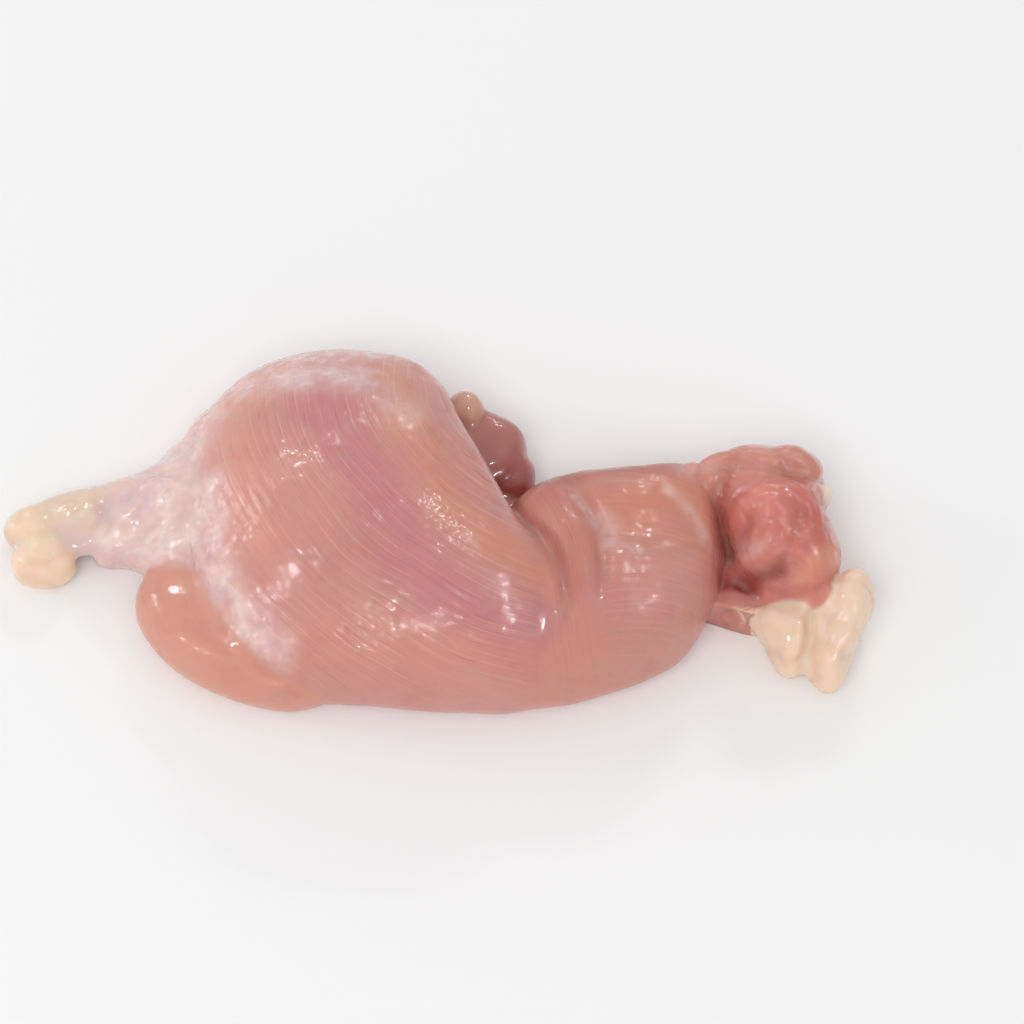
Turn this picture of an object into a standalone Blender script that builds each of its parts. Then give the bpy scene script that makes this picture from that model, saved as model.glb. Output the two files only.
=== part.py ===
"""A raw boneless chicken thigh without its skin, folded as it lies on a flat surface.

The part is in metres, with +Z up, +X along its length and its flat underside at height 0.
Sizes in the tables below are in millimetres.
"""
import math

import bmesh
import bpy
import numpy as np
from mathutils import Vector, noise

MM = 0.001

# Fineness of the skin that joins the lobes, rounds of softening everywhere and along the seam,
# and the triangles kept.
VOXEL = 0.8 * MM
SOFTENING = 5
EASING = 30
TRIANGLES = 9400

# Fineness of the spheres that lobes are drawn from, and of the rings of the strap.
LOBE_SEGMENTS = 144
LOBE_RINGS = 56
STRAP_RINGS = 12
STRAP_SIDES = 28

# How much of a span the rounded ends of the strap take, their narrowest share of its width, and
# how far before and after a place its direction is read, in spans.
STRAP_CAP = 0.5
NARROWEST = 0.03
STRAP_STEP = 0.05

# How far in under its rim a lobe reaches the ground.
TUCK = 8

# Sizes and heights of the unevenness of soft meat, and the extra height of its torn end, which
# starts at TORN_X.
BROAD_SIZE = 17
FINE_SIZE = 6.5
BROAD_WAVE = 0.9
FINE_WAVE = 0.25
TORN_WAVE = 0.3
TORN_X = 30
TORN_FADE = 5

# Height below which grooves and unevenness fade out.
LOW = 6

# Share of a groove's length that fades at each end, and the weight that is too faint to soften.
GROOVE_FADE = 0.2
FAINT = 0.02

# Each lobe: the middle of its plan, crown height, floor height, dome power, and its outline
# as points (x, y, height of the rim, radius of the edge above the rim), all in mm.
LOBES = {
    "fan": ((-21, -3), 27.5, -3, 2.3, [
        (5.8, -11, 13.5, 3), (1.6, -6.8, 15.5, 2.6), (-1, -1.6, 16.5, 2.4), (-4.2, 4.6, 17, 2.4),
        (-7.8, 11.8, 17, 2.4), (-10.4, 18.6, 15.5, 2.6), (-15, 25.6, 11, 4), (-24, 29.4, 8, 5),
        (-34, 29, 8, 4.6), (-42, 25, 9, 3.6), (-47.6, 18.8, 9.6, 3), (-50.6, 11.4, 10, 2.5),
        (-51.2, 0, 10, 2.5), (-50.4, -9.5, 9, 2.2), (-48.8, -16, 8, 2.2), (-45.8, -21.6, 7, 2.4),
        (-41.4, -26, 5.5, 3), (-35.5, -28.6, 4.2, 4.5), (-28, -30.1, 3.6, 6), (-18, -31.2, 3.4, 7),
        (-7, -31.6, 3.4, 7.5), (2, -30.6, 3.6, 7.5), (8, -27, 5, 6.5), (9.4, -21.5, 7.5, 5.5),
        (8.4, -15.8, 11, 4)]),
    "under": ((-44, -16), 10.5, -3, 2.6, [
        (-28, -12, 4, 3), (-34, -4, 4, 3), (-46, -3, 4, 3), (-55, -5.2, 3.6, 3.4), (-58.8, -9.4, 3.2, 3.6),
        (-59.2, -13.6, 3, 3.8), (-57.2, -19.4, 3, 4), (-53.2, -24.4, 3, 4), (-47.6, -27.9, 3, 4),
        (-40.3, -30.2, 3, 4), (-33.5, -30.6, 3, 4), (-28, -27, 3, 3)]),
    "funnel": ((-46, 3.4), 14.6, -3, 1.7, [
        (-36, 4, 8, 3), (-41, 17, 9.5, 2.5), (-47, 20, 9, 2), (-52.4, 14.4, 7, 1.8), (-56.6, 10, 5.4, 1.8),
        (-61.4, 7, 4.4, 1.8), (-66, 6, 4, 1.8), (-67, 0, 3.6, 1.8), (-66, -5, 3.2, 1.8),
        (-61, -6, 3.5, 1.8), (-55, -9, 4.6, 2), (-48, -11, 6.4, 2.4), (-40, -8, 8, 3)]),
    "arm": ((14.5, -10.5), 20.3, -3, 3.0, [
        (33.6, -6, 8.5, 4.5), (32.8, 2, 11, 3.2), (28.4, 6.8, 12, 3), (21, 6.8, 12.2, 3.2),
        (13, 6.6, 12, 3.2), (5, 4.8, 11, 3), (-2, -1, 10, 3), (-7, -10, 8, 4), (-8, -21, 5, 4),
        (-3, -29.6, 3.4, 5), (6.4, -30.2, 3.4, 6.5), (13.6, -29, 3.4, 6.8), (19.6, -26.8, 3.6, 6.6),
        (25.6, -23.4, 4, 6.2), (29.6, -19, 4.4, 5.8), (32.6, -12.8, 6, 5.2)]),
    "flap_low": ((39.5, 3), 13, -3, 3.0, [
        (51, 3, 5.6, 2.8), (50.6, 9.2, 5.6, 2.6), (44, 11.6, 5.8, 2.6), (34, 10, 6, 2.6),
        (27, 5, 7, 3), (30, -3, 6, 3), (38, -5, 6, 3), (47, -2.5, 6, 3)]),
    "flap_top": ((38.5, 4.2), 18.2, 2, 3.4, [
        (49.4, 4.4, 12.4, 2), (48.8, 8.6, 12.6, 1.7), (42.6, 10.4, 12.8, 1.7), (35.6, 9.8, 13, 1.7),
        (29.4, 6.4, 13, 2), (28.4, 2.4, 12.6, 2), (34, -0.6, 12, 2.4), (43, -0.4, 12, 2.4)]),
    "column": ((43.4, -5), 19, 0, 2.8, [
        (51.4, -6.4, 9, 4), (50.2, -1, 10.4, 3.4), (48, 3.4, 12, 2.6), (42, 4.6, 12.6, 2.2),
        (36.8, 2, 12.6, 2.4), (34.6, -4, 11, 3), (35.6, -10, 9.4, 3.4), (39, -14.4, 7.6, 3.2),
        (44, -16, 7, 3.2), (48.6, -15, 7, 3.4), (50.9, -11.2, 8, 3.8)]),
    "bulb": ((41.4, -3.2), 19.9, 0, 2.6, [
        (49, -5.2, 9.4, 3.6), (48.6, -1.4, 11, 3.2), (44.8, 1.2, 12.6, 2.6), (40.3, 2.2, 13, 2.2),
        (36.8, 1.9, 13, 1.9), (34.5, -0.2, 12.6, 1.7), (34.3, -3.4, 12, 1.7), (36.6, -6.7, 11.4, 1.7),
        (41.4, -8.4, 11.2, 2), (46.8, -8.7, 10, 3)]),
    "lip": ((39.6, -11.4), 9.4, -3, 2.4, [
        (48, -11, 4, 2.8), (44, -6, 5, 2.6), (34, -6, 5, 2.6), (31.6, -11.6, 3.6, 2.8),
        (33.4, -15.4, 3, 2.8), (40.8, -16.2, 2.8, 2.8), (46.8, -15, 3, 2.8)]),
    "fat_right": ((53, -13.6), 12, -2, 2.8, [
        (58, -12.8, 4.8, 3.6), (56.8, -9.4, 5, 3.4), (53.6, -8.6, 5.2, 3.2), (49.6, -10.6, 5.6, 3),
        (47.2, -14.8, 5.2, 2.8), (48.2, -19, 4.8, 2.8), (52.6, -21.4, 4.2, 3.2), (56.6, -17.4, 4.4, 3.4)]),
    "fat_left": ((43.4, -18.6), 10, -2, 2.8, [
        (50, -18, 5, 2.8), (48, -13.6, 5, 2.8), (42, -14.2, 5, 2.8), (38.3, -16.2, 4.2, 2.8),
        (39.2, -19.8, 3.8, 2.6), (41.2, -23.4, 3.2, 2.6), (43.4, -26, 2.8, 2.4), (45.8, -25.4, 3, 2.4),
        (48.4, -22, 4, 2.6)]),
    "fat_tail": ((49.6, -21.6), 9.4, -2, 2.8, [
        (54.6, -20, 4, 3), (52.4, -16, 4.8, 3), (47, -16.2, 4.8, 2.8), (45, -20.6, 4, 2.6),
        (46.4, -25, 3, 2.4), (48.6, -28.6, 2.4, 2.2), (50.8, -28.8, 2.4, 2.2), (53, -25, 3, 2.6)]),
    "back_roll": ((-27, 17), 13, -3, 2.4, [
        (-8, 16.6, 4.6, 3), (-11.4, 24.4, 4.2, 3.4), (-21, 30, 3.6, 3.8), (-32, 31, 3.6, 3.8),
        (-42.4, 26.4, 4, 3.6), (-48, 18.6, 4.6, 3), (-38, 6, 6, 3), (-14, 6, 6, 3)]),
    "tongue": ((-2.6, 12.6), 10.4, -3, 3.2, [
        (3.4, 12, 4.8, 3), (3.2, 16.4, 4.4, 3), (0, 19.4, 4.2, 3), (-6.4, 20.6, 4.6, 3),
        (-12, 14, 5, 3), (-8, 4, 6, 3), (-1.6, 5, 6, 3), (1.8, 7.6, 5.2, 3)]),
    "tongue_low": ((0.6, 8.6), 8.6, -3, 2.6, [
        (4.8, 8.2, 3.6, 2.6), (4.2, 12, 3.6, 2.6), (0, 13.6, 4, 2.6), (-4, 10, 4, 2.6), (-2, 4, 4, 2.6),
        (3, 4.2, 3.8, 2.6)]),
    "tongue_tip": ((-6.4, 18.6), 12, 0, 2.6, [
        (-3.6, 17.8, 8, 2), (-4, 21, 7.4, 2), (-7, 22.8, 7.2, 2), (-9.8, 21, 7.6, 2), (-9.8, 15.6, 8.8, 2),
        (-5.8, 14.2, 9, 2)]),
    "second_edge": ((-14, 3), 16, 2, 3, [
        (3.2, -9, 11.5, 1.8), (0.4, -3.4, 12.5, 1.6), (-2.6, 3, 13, 1.6), (-5.8, 9.6, 13, 1.6),
        (-8.8, 15, 12, 1.8), (-16, 18, 11, 2), (-25, 8, 11, 2), (-20, -6, 11, 2), (-6, -12, 11, 2)]),
    "ridge": ((44, -12), 15, 0, 2.6, [
        (50.4, -14.6, 7, 2.4), (47.4, -10.6, 9.4, 2.4), (42.4, -7.8, 11, 2.4), (38.6, -8.6, 10, 2.4),
        (38.6, -12.2, 8, 2.4), (42.6, -15.6, 6.6, 2.4), (47.4, -17, 5.6, 2.4)]),
    "bead": ((38.8, -9.3), 15, 0, 2.2, [
        (43.4, -10, 9.4, 2), (41.9, -7.4, 10.4, 2), (38.8, -6.3, 10.8, 1.8), (35.6, -6.9, 10.2, 1.6),
        (34.5, -8.8, 9.4, 1.6), (35.2, -10.9, 8.4, 1.6), (37.4, -12, 7.8, 1.8), (41, -12, 8, 2)]),
    "button": ((28.6, 4.4), 17.6, 4, 2.2, [
        (31.4, 4.6, 12, 2), (29.4, 6.6, 12, 2), (26.4, 5.8, 12, 2), (25.8, 3.6, 12, 2), (28.4, 2.2, 12, 2)]),
    "pip": ((49.4, 1.6), 14.6, 6, 2.2, [
        (51.4, 1.6, 11, 1.8), (50, 3.6, 11.4, 1.8), (47.8, 2, 11.4, 1.8), (49.2, -0.8, 11, 1.8)]),
    "knob": ((-74, -4.4), 6, -2, 2.6, [
        (-69, -4.6, 2.4, 2.4), (-71, -1, 2.8, 2.4), (-75.6, -0.4, 2.8, 2.4), (-78.6, -3.6, 2.4, 2.4),
        (-77.6, -7.8, 2, 2.4), (-73.4, -9, 1.8, 2.4), (-70, -7.8, 2, 2.4)]),
    "knob_top": ((-75.8, 1.2), 6.2, -2, 2.6, [
        (-71, 1.2, 2.8, 2.4), (-73.6, 4.8, 2.8, 2.4), (-77.4, 4.4, 2.6, 2.4), (-79.6, 1.2, 2.4, 2.4),
        (-78.4, -2, 2.4, 2.4), (-73, -2.6, 2.6, 2.4)]),
    "base": ((-4, -9), 8, -3, 4.0, [
        (50, -8, 3, 3), (44, 6, 3, 3), (30, 3, 3, 3), (10, 2, 3, 3), (-8, 12, 3, 3), (-24, 24, 3, 3),
        (-40, 18, 3, 3), (-48, 6, 3, 3), (-54, -9, 3, 3), (-50, -22, 3, 3), (-36, -27, 3, 3),
        (-18, -28, 3, 3), (0, -28, 3, 3), (18, -24, 3, 3), (30, -15, 3, 3), (42, -17, 3, 3)]),
}

# The strap of tendon: points along it, with its half widths and half heights.
STRAP = [(-40, 3.6, 12), (-50, 2.6, 10), (-57, 1.6, 7.2), (-64, 1.7, 4.8), (-71, 1.2, 3), (-77, -0.4, 2.4)]
STRAP_WIDTHS = [9.4, 8.6, 6.8, 5.8, 5.4, 4.4]
STRAP_HEIGHTS = [3.4, 3.3, 3.1, 2.8, 2.8, 2.6]

# Grooves carved in the top: points (x, y), half width and depth, which is below 0 for a raised border.
GROOVES = [
    ([(-2, 3), (0.6, -4), (4.4, -11), (6.4, -17), (5.6, -24)], 1.4, 1.3),
    ([(-50.2, -8), (-48.8, -15), (-45.8, -20.8), (-41, -25.6)], 1.3, -0.8),
    ([(7.6, 4), (9.6, -2), (11.6, -7), (12.6, -12), (12, -20)], 1.6, 1.4),
    ([(12.4, -8), (15.3, -10.6), (20, -11.8), (26, -10.6), (31, -7.4)], 1.4, 0.8),
    ([(21, -0.6), (25.4, -3), (28.6, -7), (29, -12)], 1.6, 0.5),
    ([(33.4, 5), (32.6, -1), (33, -7), (32, -16)], 1.4, 1.8),
    ([(33.6, -10.8), (36.4, -12.4), (40.4, -13), (45.6, -12.6)], 1.3, 1.8),
    ([(36.2, -3.4), (40, -1.6), (43.6, -3.4), (44.8, -8)], 1.3, 0.6),
    ([(29, 4), (35.6, 5), (42, 3.6), (49.4, 4.2)], 1.4, 1.0),
    ([(47.2, -14), (46.4, -17.4), (45.8, -20.4), (46, -25), (46.6, -30)], 1.1, 1.6),
    ([(50.8, -13.2), (50.2, -16.8), (48.6, -19.4), (48.4, -24)], 0.9, 0.7),
]

# Where the fan runs on into the arm with only a soft valley between them.
SEAM = [(5, -7), (8.4, -14), (9, -21), (6, -30)]
SEAM_WIDTH = 5


def through(values, place, closed=True):
    """Value at a place in a row of values, by a Catmull-Rom curve."""
    count = len(values)
    i = int(math.floor(place))
    if closed:
        a, b, c, d = (values[(i + k) % count] for k in (-1, 0, 1, 2))
    else:
        i = min(i, count - 2)
        a, b, c, d = (values[min(max(i + k, 0), count - 1)] for k in (-1, 0, 1, 2))
    t = float(place - i)
    return b + 0.5 * t * (c - a + t * (2 * a - 5 * b + 4 * c - d + t * (3 * (b - c) + d - a)))


def top_of(q, reach, rim, edge, crown, power):
    """Height of the top at a share q of the way from the middle to the rim."""
    inward = np.clip(reach * (1 - q) / edge, 0, 1)
    shoulder = rim + edge * np.sqrt(1 - (1 - inward) ** 2)
    return shoulder + (crown - rim - edge) * (1 - q ** power)


def under_of(q, reach, rim, floor):
    """Height of the underside at a share q of the way from the middle to the rim."""
    inward = np.clip(reach * (1 - q) / TUCK, 0, 1)
    return rim - (rim - floor) * np.sqrt(1 - (1 - inward) ** 2)


def new_object(bm, name):
    """A new object of this mesh, in the scene."""
    bmesh.ops.recalc_face_normals(bm, faces=bm.faces)
    mesh = bpy.data.meshes.new(name)
    bm.to_mesh(mesh)
    bm.free()
    obj = bpy.data.objects.new(name, mesh)
    bpy.context.scene.collection.objects.link(obj)
    return obj


def lobe(name):
    """One lobe: a sphere drawn out to the outline of the lobe, with a domed top."""
    middle, crown, floor, power, outline = LOBES[name]
    row = np.array(outline, float)
    bm = bmesh.new()
    bmesh.ops.create_uvsphere(bm, u_segments=LOBE_SEGMENTS, v_segments=LOBE_RINGS, radius=1)
    for v in bm.verts:
        x, y, z = v.co
        place = math.atan2(y, x) / (2 * math.pi) % 1 * len(row)
        px, py, rim, edge = through(row, place)
        q = min(1, math.hypot(x, y))
        reach = math.hypot(px - middle[0], py - middle[1])
        if z > 0:
            height = top_of(q, reach, rim, edge, crown, power)
        else:
            height = under_of(q, reach, rim, floor)
        across = middle[0] + (px - middle[0]) * q
        v.co = Vector((across, middle[1] + (py - middle[1]) * q, height)) * MM
    return new_object(bm, name)


def strap():
    """The strap: rings along its bent line, rounded off at the ends."""
    line = [Vector(point) for point in STRAP]
    last = len(line) - 1
    bm = bmesh.new()
    rings = []
    for place in np.linspace(0, last, last * STRAP_RINGS + 1):
        here = through(line, place, False)
        before, after = max(place - STRAP_STEP, 0), min(place + STRAP_STEP, last)
        ahead = through(line, after, False) - through(line, before, False)
        side = Vector((0, 0, 1)).cross(ahead).normalized()
        up = ahead.normalized().cross(side)
        inward = min(1, min(place, last - place) / STRAP_CAP)
        cap = max(NARROWEST, math.sqrt(1 - (1 - inward) ** 2))
        wide = through(STRAP_WIDTHS, place, False) * cap
        high = through(STRAP_HEIGHTS, place, False) * cap
        turns = [2 * math.pi * j / STRAP_SIDES for j in range(STRAP_SIDES)]
        ring = [here + side * wide * math.cos(turn) + up * high * math.sin(turn) for turn in turns]
        rings.append([bm.verts.new(point * MM) for point in ring])
    for low, high in zip(rings, rings[1:]):
        for j in range(STRAP_SIDES):
            k = (j + 1) % STRAP_SIDES
            bm.faces.new((low[j], low[k], high[k], high[j]))
    bm.faces.new(rings[0])
    bm.faces.new(rings[-1])
    return new_object(bm, "strap")


def applied(obj):
    """Turns the modifiers of an object into its mesh."""
    graph = bpy.context.evaluated_depsgraph_get()
    mesh = bpy.data.meshes.new_from_object(obj.evaluated_get(graph))
    obj.modifiers.clear()
    obj.data = mesh
    return obj


def softened(obj, rounds, group=""):
    """Smoothed evenly, or as much as the weights of a vertex group say."""
    smooth = obj.modifiers.new("Smooth", "SMOOTH")
    smooth.factor = 0.5
    smooth.iterations = rounds
    smooth.vertex_group = group
    return applied(obj)


def fused(parts, name):
    """All parts as one skin, softened where they meet."""
    bm = bmesh.new()
    for part in parts:
        bm.from_mesh(part.data)
        bpy.data.objects.remove(part)
    obj = new_object(bm, name)
    remesh = obj.modifiers.new("Remesh", "REMESH")
    remesh.mode = "VOXEL"
    remesh.voxel_size = VOXEL
    return softened(applied(obj), SOFTENING)


def points_of(obj):
    """The points of a mesh, in millimetres."""
    points = np.empty(len(obj.data.vertices) * 3)
    obj.data.vertices.foreach_get("co", points)
    return points.reshape(-1, 3) / MM


def put_points(obj, points):
    """Moves the points of a mesh to these places, given in millimetres."""
    obj.data.vertices.foreach_set("co", (points * MM).ravel())
    obj.data.update()


def from_line(x, y, line):
    """Plan distance from points to a bent line, and the share of the way along it."""
    best = np.full(len(x), np.inf)
    share = np.zeros(len(x))
    steps = len(line) - 1
    for i, ((ax, ay), (bx, by)) in enumerate(zip(line, line[1:])):
        dx, dy = bx - ax, by - ay
        t = np.clip(((x - ax) * dx + (y - ay) * dy) / (dx * dx + dy * dy), 0, 1)
        gap = np.hypot(x - ax - t * dx, y - ay - t * dy)
        share = np.where(gap < best, (i + t) / steps, share)
        best = np.minimum(best, gap)
    return best, share


def curved(line, per=6):
    """A bent line with points added along its Catmull-Rom curve."""
    row = np.array(line, float)
    places = np.linspace(0, len(row) - 1, (len(row) - 1) * per + 1)
    return [tuple(through(row, place, False)) for place in places]


def waves(points, scale, seed):
    """Smooth noise from -1 to 1 in three directions, with features of about the given size."""
    shifts = [Vector((seed * 17.3 + k * 31.7, seed * 5.1, seed * 9.7)) for k in range(3)]
    return np.array([[noise.noise(Vector(p) / scale + shift) for shift in shifts] for p in points])


def eased(obj):
    """Extra softening along the seam of the fan and the arm."""
    x, y, z = points_of(obj).T
    gap, share = from_line(x, y, curved(SEAM))
    weights = np.exp(-(gap / SEAM_WIDTH) ** 2) * np.clip(z / LOW, 0, 1)
    group = obj.vertex_groups.new(name="seam")
    for i in np.nonzero(weights > FAINT)[0]:
        group.add([int(i)], float(weights[i]), "REPLACE")
    softened(obj, EASING, group.name)
    obj.vertex_groups.clear()
    return obj


def carved(obj):
    """Grooves, and the slight unevenness of soft meat. Both fade out near the ground."""
    points = points_of(obj)
    x, y, z = points.T
    above = np.clip(z / LOW, 0, 1)
    for line, wide, deep in GROOVES:
        gap, share = from_line(x, y, curved(line))
        ends = np.clip(np.minimum(share, 1 - share) / GROOVE_FADE, 0, 1)
        points[:, 2] -= deep * np.exp(-(gap / wide) ** 2) * ends * above
    torn = np.clip((x - TORN_X) / TORN_FADE, 0, 1)[:, None]
    move = waves(points, BROAD_SIZE, 1) * BROAD_WAVE
    move += waves(points, FINE_SIZE, 2) * (FINE_WAVE + TORN_WAVE * torn)
    move[:, 2] *= above
    put_points(obj, points + move)
    return obj


def cut_flat(obj):
    """The flat underside at height 0."""
    bm = bmesh.new()
    bm.from_mesh(obj.data)
    every = bm.verts[:] + bm.edges[:] + bm.faces[:]
    cut = bmesh.ops.bisect_plane(bm, geom=every, plane_co=(0, 0, 0), plane_no=(0, 0, -1), clear_outer=True)
    edges = [e for e in cut["geom_cut"] if isinstance(e, bmesh.types.BMEdge)]
    bmesh.ops.holes_fill(bm, edges=edges, sides=0)
    bm.to_mesh(obj.data)
    bm.free()
    return obj


def thinned(obj, triangles):
    """Fewer faces, kept where the skin bends."""
    obj.data.calc_loop_triangles()
    fewer = obj.modifiers.new("Fewer", "DECIMATE")
    fewer.ratio = triangles / len(obj.data.loop_triangles)
    return applied(obj)


def centred(obj):
    """Moves the mesh so that the middle of its box in plan is the origin."""
    points = points_of(obj)
    points[:, :2] -= (points[:, :2].min(axis=0) + points[:, :2].max(axis=0)) / 2
    put_points(obj, points)
    return obj


def flesh():
    """Wet raw meat, slightly see-through."""
    material = bpy.data.materials.new("raw_flesh")
    material.use_nodes = True
    shader = material.node_tree.nodes["Principled BSDF"]
    shader.inputs["Base Color"].default_value = (0.62, 0.27, 0.23, 1)
    shader.inputs["Roughness"].default_value = 0.3
    shader.inputs["Subsurface Weight"].default_value = 0.4
    shader.inputs["Subsurface Scale"].default_value = 4 * MM
    return material


def main():
    """Builds the thigh as one solid, in a collection of its own."""
    for obj in list(bpy.data.objects):
        bpy.data.objects.remove(obj)
    parts = [lobe(name) for name in LOBES] + [strap()]
    thigh = eased(fused(parts, "chicken_thigh"))
    thigh = centred(cut_flat(thinned(carved(thigh), TRIANGLES)))
    thigh.data.materials.append(flesh())
    thigh.data.shade_smooth()
    group = bpy.data.collections.new("raw_chicken_thigh")
    bpy.context.scene.collection.children.link(group)
    bpy.context.scene.collection.objects.unlink(thigh)
    group.objects.link(thigh)


main()
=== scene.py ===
"""Looks of the raw chicken thigh: its fine skin, fibres, membrane and fat, the light and the camera.

The skin repeats the lobes of the part at a finer voxel, so the tables below are in millimetres,
in the plan that the part is drawn in. MIDDLE is where the middle of the part's box falls in it.
"""

import math

import bmesh
import bpy
import numpy as np
from mathutils import Matrix, Vector, noise


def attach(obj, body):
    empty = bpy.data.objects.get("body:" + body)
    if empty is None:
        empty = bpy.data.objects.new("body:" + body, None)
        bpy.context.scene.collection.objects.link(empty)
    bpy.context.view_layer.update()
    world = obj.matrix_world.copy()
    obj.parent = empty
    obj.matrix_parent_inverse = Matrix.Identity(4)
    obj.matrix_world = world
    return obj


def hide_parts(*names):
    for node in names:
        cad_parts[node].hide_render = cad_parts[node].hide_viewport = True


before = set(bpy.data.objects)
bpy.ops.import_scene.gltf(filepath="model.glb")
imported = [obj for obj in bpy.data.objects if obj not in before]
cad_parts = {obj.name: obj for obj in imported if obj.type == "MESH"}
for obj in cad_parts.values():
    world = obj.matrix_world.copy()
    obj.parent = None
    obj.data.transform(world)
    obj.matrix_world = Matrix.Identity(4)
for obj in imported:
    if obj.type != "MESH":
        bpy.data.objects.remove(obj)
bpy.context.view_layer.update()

MM = 0.001
MIDDLE = (-11.028, 0.101, 0)

# Fineness of the skin, and rounds of softening everywhere and along the seam.
VOXEL = 0.4 * MM
SOFTENING = 18
EASING = 110

# Fineness of the spheres that lobes are drawn from, and of the rings of the strap.
LOBE_SEGMENTS = 144
LOBE_RINGS = 56
STRAP_RINGS = 12
STRAP_SIDES = 28

# Points per span of a drawn curve, and points of an outline that distances are taken from.
CURVE_STEPS = 6
OUTLINE_STEPS = 240

# How much of a span the rounded ends of the strap take, their narrowest share of its width, and
# how far before and after a place its direction is read, in spans.
STRAP_CAP = 0.5
NARROWEST = 0.03
STRAP_STEP = 0.05

# How far in under its rim a lobe reaches the ground.
TUCK = 8

# Sizes and heights of the unevenness of soft meat, and the extra height of its torn end, which
# starts at TORN_X.
BROAD_SIZE = 17
FINE_SIZE = 6.5
BROAD_WAVE = 0.9
FINE_WAVE = 0.25
TORN_WAVE = 0.3
TORN_X = 30
TORN_FADE = 5

# Height below which grooves and unevenness fade out.
LOW = 6

# Share of a groove's length that fades at each end, and the weight that is too faint to soften.
GROOVE_FADE = 0.2
FAINT = 0.02

# Width of the soft border between the colours of two lobes.
BORDER = 0.7

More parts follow.
